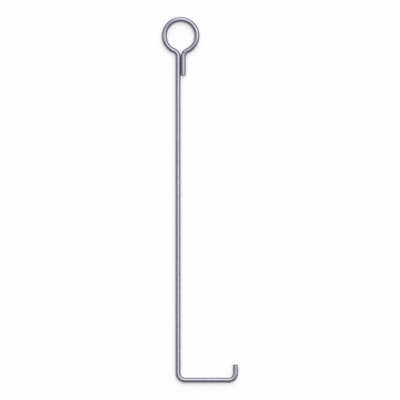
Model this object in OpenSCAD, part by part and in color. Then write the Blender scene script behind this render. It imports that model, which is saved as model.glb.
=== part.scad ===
// Guy anchor rod: one length of round steel bar.
// One end is bent into a closed eye with its tail laid beside the shank, and the other into a square hook.
// It lies flat, as it comes to rest: the bar's centre line is in the XY plane and +Z is up.
// The origin is the centre of the eye. The shank runs from there along -Y and the hook turns towards +X.

/* [Bar] */
// Diameter of the round bar
bar_d = 12.7; // [8:0.1:20]
// Chamfer round the bar's two cut ends
end_chamfer = 2; // [0.4:0.1:2.4]

/* [Eye] */
// Clear inside diameter of the eye
eye_inside_d = 69; // [40:0.5:120]
// Inside radius of the two bends that bring the eye in to the shank and the tail
neck_inside_r = 10.8; // [4:0.1:30]
// Gap between the shank and the tail that is laid beside it
tail_gap = 0.2; // [0.1:0.05:3]
// Straight length of the tail, from the neck to its cut end
tail_length = 46.6; // [10:0.1:150]

/* [Shank] */
// Distance from the centre of the eye to the centre line of the hook's leg
eye_to_leg = 861; // [400:1:2400]

/* [Hook] */
// Clear width between the shank and the upturned tip
hook_gap = 131; // [60:0.5:260]
// Inside radius of the two square bends at the ends of the leg
hook_inside_r = 11; // [4:0.1:28]
// Straight length of the upturned tip, from its bend to its cut end
tip_length = 22; // [5:0.5:160]

/* [Hidden] */
$fn = 96;

// Bends are set out to a thousandth of a millimetre and of a degree
function thousandth(value) = round(value * 1000) / 1000;

bar_r = bar_d / 2;

// Centre-line radii of the bends
eye_r = thousandth(eye_inside_d / 2 + bar_r);
neck_r = thousandth(neck_inside_r + bar_r);
hook_r = hook_inside_r + bar_r;

// Each neck bend touches the eye from outside and ends beside the line that halves the eye
eye_to_neck = eye_r + neck_r;
neck_angle = thousandth(acos((neck_r + (bar_d + tail_gap) / 2) / eye_to_neck));
neck_x = -eye_to_neck * cos(neck_angle);
neck_y = -eye_to_neck * sin(neck_angle);

// The eye runs on into each neck by a hair, in degrees, so that the two meet at every size
eye_overlap = 0.0000001;
eye_end_angle = neck_angle + eye_overlap;

// Straight lengths that follow from the sizes above
shank_length = eye_to_leg + neck_y - hook_r;
leg_length = hook_gap - 2 * hook_inside_r;

// Moves to a point in two steps, the last one below a thousandth, so that bends meet without a step
module place(point) {
    near = [for (value = point) thousandth(value)];
    translate(near)
        translate(point - near)
            children();
}

// A bend about the Z axis, anticlockwise from its start angle
module bend(centre_line_r, start_angle, swept_angle) {
    rotate_extrude(start = start_angle, angle = swept_angle)
        translate([centre_line_r, 0])
            circle(r = bar_r);
}

// A straight length along +Y, with what follows it at its end
module straight(length) {
    rotate([-90, 0, 0])
        cylinder(h = length, r = bar_r);
    translate([0, length, 0])
        children();
}

// A square bend to the left of +Y, with what follows it at its end
module square_bend(centre_line_r) {
    translate([-centre_line_r, 0, 0]) {
        bend(centre_line_r, 0, 90);
        rotate([0, 0, 90])
            translate([centre_line_r, 0, 0])
                children();
    }
}

// The last straight length along +Y, chamfered at its cut end
module cut_end(length) {
    straight(length - end_chamfer)
        rotate([-90, 0, 0])
            cylinder(h = end_chamfer, r1 = bar_r, r2 = bar_r - end_chamfer);
}

// The reverse bend on the left of the eye, with what follows it below
module neck() {
    place([neck_x, neck_y, 0]) {
        bend(neck_r, 0, neck_angle);
        translate([neck_r, 0, 0])
            rotate([0, 0, 180])
                children();
    }
}

module anchor_rod() {
    color([0.66, 0.66, 0.71]) {
        // The eye, open only between its two necks
        bend(eye_r, -eye_end_angle, 180 + 2 * eye_end_angle);

        // Shank and hook: heel bend, leg, toe bend and upturned tip
        neck()
            straight(shank_length)
                square_bend(hook_r)
                    straight(leg_length)
                        square_bend(hook_r)
                            cut_end(tip_length);

        // Tail beside the shank
        mirror([1, 0, 0])
            neck()
                cut_end(tail_length);
    }
}

anchor_rod();
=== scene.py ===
import math
from typing import NamedTuple

import bpy
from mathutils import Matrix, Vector


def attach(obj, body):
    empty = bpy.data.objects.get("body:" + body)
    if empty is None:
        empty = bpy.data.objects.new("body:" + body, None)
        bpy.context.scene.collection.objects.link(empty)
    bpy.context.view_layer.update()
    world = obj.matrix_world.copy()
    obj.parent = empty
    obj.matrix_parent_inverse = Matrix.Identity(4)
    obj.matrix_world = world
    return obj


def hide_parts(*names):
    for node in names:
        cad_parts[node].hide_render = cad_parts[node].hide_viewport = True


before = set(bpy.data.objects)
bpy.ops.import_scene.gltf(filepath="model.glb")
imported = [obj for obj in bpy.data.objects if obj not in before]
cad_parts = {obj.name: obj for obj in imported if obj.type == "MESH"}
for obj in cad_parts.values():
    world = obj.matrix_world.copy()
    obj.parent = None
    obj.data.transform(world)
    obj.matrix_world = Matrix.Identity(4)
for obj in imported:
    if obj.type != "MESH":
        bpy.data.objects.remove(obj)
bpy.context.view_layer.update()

# Guy anchor rod, lying flat: one round bar with a closed eye at one end and a square hook at the other.
# Lengths are in metres. The origin is the centre of the eye, and the bar's centre line is in the XY plane.
BAR_D = 0.0127
END_CHAMFER = 0.002
EYE_INSIDE_D = 0.069
NECK_INSIDE_R = 0.0108
TAIL_GAP = 0.0002
TAIL_LENGTH = 0.0466
EYE_TO_LEG = 0.861
HOOK_GAP = 0.131
HOOK_INSIDE_R = 0.011
TIP_LENGTH = 0.022

# The bar's radius, the bends' centre-line radii, and what follows from the sizes above
BAR_R = BAR_D / 2
EYE_R = EYE_INSIDE_D / 2 + BAR_R
NECK_R = NECK_INSIDE_R + BAR_R
HOOK_R = HOOK_INSIDE_R + BAR_R
HALF_PAIR = (BAR_D + TAIL_GAP) / 2
NECK_ANGLE = math.acos((NECK_R + HALF_PAIR) / (EYE_R + NECK_R))
NECK_Y = -(EYE_R + NECK_R) * math.sin(NECK_ANGLE)
SHANK_LENGTH = EYE_TO_LEG + NECK_Y - HOOK_R
LEG_LENGTH = HOOK_GAP - 2 * HOOK_INSIDE_R
RIGHT_ANGLE = math.pi / 2

# The mesh: sides round the bar, and the steps from ring to ring in a bend and on a straight
SIDES = 64
BEND_STEP = math.radians(2.5)
STRAIGHT_STEP = 0.012

# Cut ends: the chamfer's slope, how far its corners are worn round, the steps in that round,
# and the radii of the rings on the flat, as shares of the flat's own
CHAMFER_SLOPE = math.radians(45)
CORNER = 0.0003
CORNER_STEPS = 4
FLAT_RINGS = (0.8, 0.6, 0.4, 0.2)

# The texture map: the strips that the bar is unrolled into, and the gap between them
MAP_STRIPS = 6
MAP_GAP = 0.002

# The finish: the cells of each pattern to a metre, in the two directions across the bar and then along it
CRYSTAL_SCALE = (520, 520, 340)
CLOUD_SCALE = (55, 55, 22)
DIE_LINE_SCALE = (2600, 2600, 9)
GRAIN_SCALE = (900, 900, 700)
# Its colours from dark to light, each with its place in the mix of clouds and crystals
ZINC_COLOURS = (
    (0.2, (0.314, 0.317, 0.377)),
    (0.5, (0.343, 0.346, 0.412)),
    (0.8, (0.372, 0.375, 0.447)),
)
# The tint of what it reflects at a grazing angle, its least and most roughness, and its bumps
GRAZING_TINT = (0.2, 0.2, 0.23, 1.0)
LEAST_ROUGH = 0.24
MOST_ROUGH = 0.36
BUMP_STRENGTH = 0.35
BUMP_HEIGHT = 0.00004

# The plain white of the floor and of the sky's light
WHITE = (1.0, 1.0, 1.0, 1.0)

# The floor: its side, how pale it is, and how much of what is seen of it is plain white
FLOOR_SIDE = 30.0
FLOOR_GREY = 0.97
FLOOR_WHITE = 0.4

# The light: its level all round, beside the soft boxes, and how many degrees their rims fade to each side
SKY_LEVEL = 0.28
BOX_RIM = 3.0

# The view: straight down on the rod with the eye at the top, through a lens that hardly shows perspective
VIEW_WIDTH = 1.0
VIEW_MIDDLE = Vector((0.0484, -0.4104, 0.0))
LENS_MM = 500


class Station(NamedTuple):
    """A place on the centre line, the way the bar runs there and the length of bar so far."""

    x: float
    y: float
    heading: float
    along: float

    def ahead(self, length):
        return Station(
            self.x + length * math.cos(self.heading),
            self.y + length * math.sin(self.heading),
            self.heading,
            self.along + length,
        )

    def turned(self, radius, angle):
        """The station after a bend of that radius, to the left where the angle is positive."""
        side = math.copysign(radius, angle)
        after = self.heading + angle
        return Station(
            self.x + side * (math.sin(after) - math.sin(self.heading)),
            self.y - side * (math.cos(after) - math.cos(self.heading)),
            after,
            self.along + radius * abs(angle),
        )

    def point(self):
        return Vector((self.x, self.y, 0))

    def direction(self):
        return Vector((math.cos(self.heading), math.sin(self.heading), 0))


class Ring(NamedTuple):
    """A ring round the bar. Its normals lean towards the tip where lean is positive."""

    station: Station
    radius: float
    lean: float


class TextureMap:
    """Where the bar lies on its square map: strips side by side, with the two cut ends in a row above."""

    def __init__(self, bar_length):
        self.strip_length = bar_length / MAP_STRIPS
        self.strip_width = math.pi * BAR_D
        strips_top = MAP_GAP + self.strip_length
        self.ends_v = strips_top + 2 * MAP_GAP + BAR_R
        height = self.ends_v + BAR_R + MAP_GAP
        width = MAP_STRIPS * (self.strip_width + MAP_GAP) + MAP_GAP
        self.side = max(width, height)

    def on_strip(self, strip, along, share_round):
        u = MAP_GAP + strip * (self.strip_width + MAP_GAP) + self.strip_width * share_round
        v = MAP_GAP + along - strip * self.strip_length
        return (u / self.side, v / self.side)

    def on_end(self, across, up, is_tip):
        """A point of a cut end, from how far across and up it is from the bar's centre line."""
        middle_u = MAP_GAP + BAR_R
        if is_tip:
            middle_u += BAR_D + MAP_GAP
        return ((middle_u + across) / self.side, (self.ends_v + up) / self.side)


def centre_line():
    """Stations from the tail's cut end, by the eye, the shank and the leg, to the tip's cut end."""
    line = [Station(HALF_PAIR, NECK_Y - TAIL_LENGTH, RIGHT_ANGLE, 0.0)]

    def straight(length):
        start = line[-1]
        steps = max(1, round(length / STRAIGHT_STEP))
        line.extend(start.ahead(length * i / steps) for i in range(1, steps + 1))

    def bend(radius, angle):
        start = line[-1]
        steps = max(1, round(abs(angle) / BEND_STEP))
        line.extend(start.turned(radius, angle * i / steps) for i in range(1, steps + 1))

    straight(TAIL_LENGTH)
    bend(NECK_R, -NECK_ANGLE)
    bend(EYE_R, math.pi + 2 * NECK_ANGLE)
    bend(NECK_R, -NECK_ANGLE)
    straight(SHANK_LENGTH)
    bend(HOOK_R, RIGHT_ANGLE)
    straight(LEG_LENGTH)
    bend(HOOK_R, RIGHT_ANGLE)
    straight(TIP_LENGTH)
    return line


def worn_corner(past, radius, lean_before, lean_after):
    """Points round a corner of a cut end, from a surface that leans one way to one that leans another."""
    points = []
    for i in range(CORNER_STEPS + 1):
        t = i / CORNER_STEPS
        before = (1 - t) ** 2 * CORNER
        after = t**2 * CORNER
        point_past = past - before * math.cos(lean_before) + after * math.cos(lean_after)
        point_radius = radius + before * math.sin(lean_before) - after * math.sin(lean_after)
        points.append((point_past, point_radius, lean_before + (lean_after - lean_before) * t))
    return points


def end_profile():
    """A cut end from the bar's side inwards: how far past the chamfer's start, the radius and the lean."""
    profile = worn_corner(0.0, BAR_R, 0.0, CHAMFER_SLOPE)
    profile += worn_corner(END_CHAMFER, BAR_R - END_CHAMFER, CHAMFER_SLOPE, RIGHT_ANGLE)
    flat_r = profile[-1][1]
    profile += [(END_CHAMFER, flat_r * share, RIGHT_ANGLE) for share in FLAT_RINGS]
    return profile


def bar_rings(line):
    """Rings from the flat of the tail's cut end to the flat of the tip's."""
    first = line[0]
    last = line[-1]
    end_length = END_CHAMFER + CORNER
    rings = []
    for past, radius, lean in reversed(end_profile()):
        rings.append(Ring(first.ahead(END_CHAMFER - past), radius, -lean))
    for station in line:
        if end_length < station.along < last.along - end_length:
            rings.append(Ring(station, BAR_R, 0.0))
    for past, radius, lean in end_profile():
        rings.append(Ring(last.ahead(past - END_CHAMFER), radius, lean))
    return rings


def bar_surface(line, rings):
    """The rings' points and then the middles of the two cut ends.

    There is a list of the points, one of their normals and one of where they would be on a straight bar.
    """
    points = []
    normals = []
    straightened = []
    for ring in rings:
        direction = ring.station.direction()
        left = Vector((-direction.y, direction.x, 0))
        for i in range(SIDES):
            angle = 2 * math.pi * i / SIDES
            across = math.cos(angle)
            up = math.sin(angle)
            outward = left * across + Vector((0, 0, up))
            points.append(ring.station.point() + outward * ring.radius)
            normals.append(outward * math.cos(ring.lean) + direction * math.sin(ring.lean))
            straightened.append((ring.radius * across, ring.radius * up, ring.station.along))
    for station, facing in ((line[0], -1), (line[-1], 1)):
        points.append(station.point())
        normals.append(station.direction() * facing)
        straightened.append((0, 0, station.along))
    return points, normals, straightened


def bar_faces(rings, straightened, texture_map):
    """The faces, as numbers of points, and the places of their corners on the texture map."""
    faces = []
    map_places = []

    def number(ring, side):
        return ring * SIDES + side % SIDES

    def add_end_face(corners, is_tip):
        faces.append(corners)
        for corner in corners:
            across, up, _ = straightened[corner]
            map_places.append(texture_map.on_end(across, up, is_tip))

    for low in range(len(rings) - 1):
        high = low + 1
        is_tail = rings[low].lean < 0
        is_tip = rings[high].lean > 0
        middle_along = (rings[low].station.along + rings[high].station.along) / 2
        strip = int(middle_along / texture_map.strip_length)
        for i in range(SIDES):
            places = ((low, i), (low, i + 1), (high, i + 1), (high, i))
            corners = [number(ring, side) for ring, side in places]
            if is_tail or is_tip:
                add_end_face(corners, is_tip)
            else:
                faces.append(corners)
                for ring, side in places:
                    along = rings[ring].station.along
                    map_places.append(texture_map.on_strip(strip, along, side / SIDES))

    last_ring = len(rings) - 1
    tail_middle = len(rings) * SIDES
    tip_middle = tail_middle + 1
    for i in range(SIDES):
        add_end_face([tail_middle, number(0, i + 1), number(0, i)], is_tip=False)
        add_end_face([tip_middle, number(last_ring, i), number(last_ring, i + 1)], is_tip=True)
    return faces, map_places


def bar_mesh(name):
    """The bar as one closed mesh, with its normals, its texture map and its places on a straight bar."""
    line = centre_line()
    rings = bar_rings(line)
    points, normals, straightened = bar_surface(line, rings)
    faces, map_places = bar_faces(rings, straightened, TextureMap(line[-1].along))

    mesh = bpy.data.meshes.new(name)
    mesh.from_pydata(points, [], faces)
    mesh.polygons.foreach_set("use_smooth", [True] * len(faces))
    bar = mesh.attributes.new("bar", "FLOAT_VECTOR", "POINT")
    bar.data.foreach_set("vector", [value for place in straightened for value in place])
    layer = mesh.uv_layers.new(name="OFBake")
    layer.uv.foreach_set("vector", [value for place in map_places for value in place])
    mesh.update()
    mesh.normals_split_custom_set_from_vertices(normals)
    return mesh


def maths(tree, operation, first, second):
    """The result of a Math node on two values, each a number or what another node gives."""
    node = tree.nodes.new("ShaderNodeMath")
    node.operation = operation
    for value, socket in zip((first, second), node.inputs):
        if isinstance(value, float):
            socket.default_value = value
        else:
            tree.links.new(value, socket)
    return node.outputs["Value"]


def galvanised_steel():
    """Zinc-coated drawn bar: faint crystals, fine lines along the bar and a satin shine."""
    material = bpy.data.materials.new("galvanised_steel")
    material.use_nodes = True
    tree = material.node_tree
    nodes = tree.nodes
    links = tree.links
    shader = nodes["Principled BSDF"]
    shader.inputs["Metallic"].default_value = 1.0
    shader.inputs["Specular Tint"].default_value = GRAZING_TINT

    place = nodes.new("ShaderNodeAttribute")
    place.attribute_name = "bar"

    def stretched(scale):
        mapping = nodes.new("ShaderNodeMapping")
        mapping.inputs["Scale"].default_value = scale
        links.new(place.outputs["Vector"], mapping.inputs["Vector"])
        return mapping.outputs["Vector"]

    def noise(scale, detail, roughness):
        node = nodes.new("ShaderNodeTexNoise")
        node.inputs["Scale"].default_value = 1.0
        node.inputs["Detail"].default_value = detail
        node.inputs["Roughness"].default_value = roughness
        links.new(stretched(scale), node.inputs["Vector"])
        return node.outputs["Fac"]

    def blended(first, second, share):
        """A mix of two values with that share of the second."""
        part_of_first = maths(tree, "MULTIPLY", first, 1 - share)
        part_of_second = maths(tree, "MULTIPLY", second, share)
        return maths(tree, "ADD", part_of_first, part_of_second)

    # Zinc crystals about two millimetres across and three along the bar, each of one tone
    crystals = nodes.new("ShaderNodeTexVoronoi")
    crystals.inputs["Scale"].default_value = 1.0
    links.new(stretched(CRYSTAL_SCALE), crystals.inputs["Vector"])
    crystal_tone = nodes.new("ShaderNodeSeparateColor")
    links.new(crystals.outputs["Color"], crystal_tone.inputs["Color"])
    crystal = crystal_tone.outputs["Red"]

    cloud = noise(CLOUD_SCALE, detail=3.0, roughness=0.5)
    die_lines = noise(DIE_LINE_SCALE, detail=2.0, roughness=0.6)
    grain = noise(GRAIN_SCALE, detail=3.0, roughness=0.6)

    colours = nodes.new("ShaderNodeValToRGB")
    ramp = colours.color_ramp.elements
    while len(ramp) < len(ZINC_COLOURS):
        ramp.new(0.5)
    for element, (position, colour) in zip(ramp, ZINC_COLOURS):
        element.position = position
        element.color = (*colour, 1.0)
    links.new(blended(cloud, crystal, share=0.6), colours.inputs["Fac"])
    links.new(colours.outputs["Color"], shader.inputs["Base Color"])

    rough = nodes.new("ShaderNodeMapRange")
    rough.inputs["To Min"].default_value = LEAST_ROUGH
    rough.inputs["To Max"].default_value = MOST_ROUGH
    links.new(blended(crystal, die_lines, share=0.7), rough.inputs["Value"])
    links.new(rough.outputs["Result"], shader.inputs["Roughness"])

    bump = nodes.new("ShaderNodeBump")
    bump.inputs["Strength"].default_value = BUMP_STRENGTH
    bump.inputs["Distance"].default_value = BUMP_HEIGHT
    links.new(blended(die_lines, grain, share=0.45), bump.inputs["Height"])
    links.new(bump.outputs["Normal"], shader.inputs["Normal"])
    return material


def floor_material():
    """Pale and dull. Where it is seen, straight or in a reflection, part of it is plain white."""
    material = bpy.data.materials.new("floor")
    material.use_nodes = True
    tree = material.node_tree
    nodes = tree.nodes
    links = tree.links
    shader = nodes["Principled BSDF"]
    shader.inputs["Base Color"].default_value = (FLOOR_GREY, FLOOR_GREY, FLOOR_GREY, 1.0)
    shader.inputs["Roughness"].default_value = 1.0
    shader.inputs["Specular IOR Level"].default_value = 0.0

    white = nodes.new("ShaderNodeEmission")
    white.inputs["Color"].default_value = WHITE
    white.inputs["Strength"].default_value = 1.0

    path = nodes.new("ShaderNodeLightPath")
    seen = maths(tree, "MAXIMUM", path.outputs["Is Camera Ray"], path.outputs["Is Glossy Ray"])
    seen = maths(tree, "MAXIMUM", seen, path.outputs["Is Transmission Ray"])
    mix = nodes.new("ShaderNodeMixShader")
    links.new(maths(tree, "MULTIPLY", seen, FLOOR_WHITE), mix.inputs["Fac"])
    links.new(shader.outputs["BSDF"], mix.inputs[1])
    links.new(white.outputs["Emission"], mix.inputs[2])
    links.new(mix.outputs["Shader"], nodes["Material Output"].inputs["Surface"])
    return material


def floor_mesh():
    half = FLOOR_SIDE / 2
    corners = [(-half, -half, 0), (half, -half, 0), (half, half, 0), (-half, half, 0)]
    mesh = bpy.data.meshes.new("floor")
    mesh.from_pydata(corners, [], [(0, 1, 2, 3)])
    mesh.materials.append(floor_material())
    return mesh


def soft_box(tree, bearing, height, spread, radiance):
    """The light of a round soft box, far off, in each direction of the sky. Its angles are in degrees.

    bearing is anticlockwise from +X, height is above the floor, and spread is from its middle to its rim.
    """
    bearing, height, spread, rim = map(math.radians, (bearing, height, spread, BOX_RIM))
    level = math.cos(height)
    towards = (math.cos(bearing) * level, math.sin(bearing) * level, math.sin(height))
    place = tree.nodes.new("ShaderNodeTexCoord")
    nearness = tree.nodes.new("ShaderNodeVectorMath")
    nearness.operation = "DOT_PRODUCT"
    nearness.inputs[1].default_value = towards
    tree.links.new(place.outputs["Generated"], nearness.inputs[0])
    light = tree.nodes.new("ShaderNodeMapRange")
    light.interpolation_type = "SMOOTHSTEP"
    light.inputs["From Min"].default_value = math.cos(spread + rim)
    light.inputs["From Max"].default_value = math.cos(spread - rim)
    light.inputs["To Max"].default_value = radiance
    tree.links.new(nearness.outputs["Value"], light.inputs["Value"])
    return light.outputs["Result"]


def studio_sky():
    """Soft light from far off: an even white sky with three soft boxes in it."""
    world = bpy.data.worlds.new("sky")
    world.use_nodes = True
    tree = world.node_tree
    right = soft_box(tree, bearing=18, height=60, spread=17, radiance=3.4)
    back = soft_box(tree, bearing=86, height=50, spread=27, radiance=2.35)
    left = soft_box(tree, bearing=160, height=62, spread=15, radiance=1.7)
    soft_boxes = maths(tree, "ADD", maths(tree, "ADD", right, back), left)
    background = tree.nodes["Background"]
    background.inputs["Color"].default_value = WHITE
    tree.links.new(maths(tree, "ADD", soft_boxes, SKY_LEVEL), background.inputs["Strength"])
    return world


def add(name, data):
    piece = bpy.data.objects.new(name, data)
    bpy.context.scene.collection.objects.link(piece)
    return piece


rod = add("rod", bar_mesh("rod"))
rod.data.materials.append(galvanised_steel())
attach(rod, "root")
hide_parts("anchor_rod")

floor = add("floor", floor_mesh())
floor.location = (0, 0, -BAR_R)

camera_data = bpy.data.cameras.new("camera")
camera_data.lens = LENS_MM
camera = add("camera", camera_data)
camera.location = VIEW_MIDDLE + Vector((0, 0, VIEW_WIDTH * LENS_MM / camera_data.sensor_width))
bpy.context.scene.camera = camera
bpy.context.scene.world = studio_sky()
bpy.context.scene.view_settings.view_transform = "Standard"
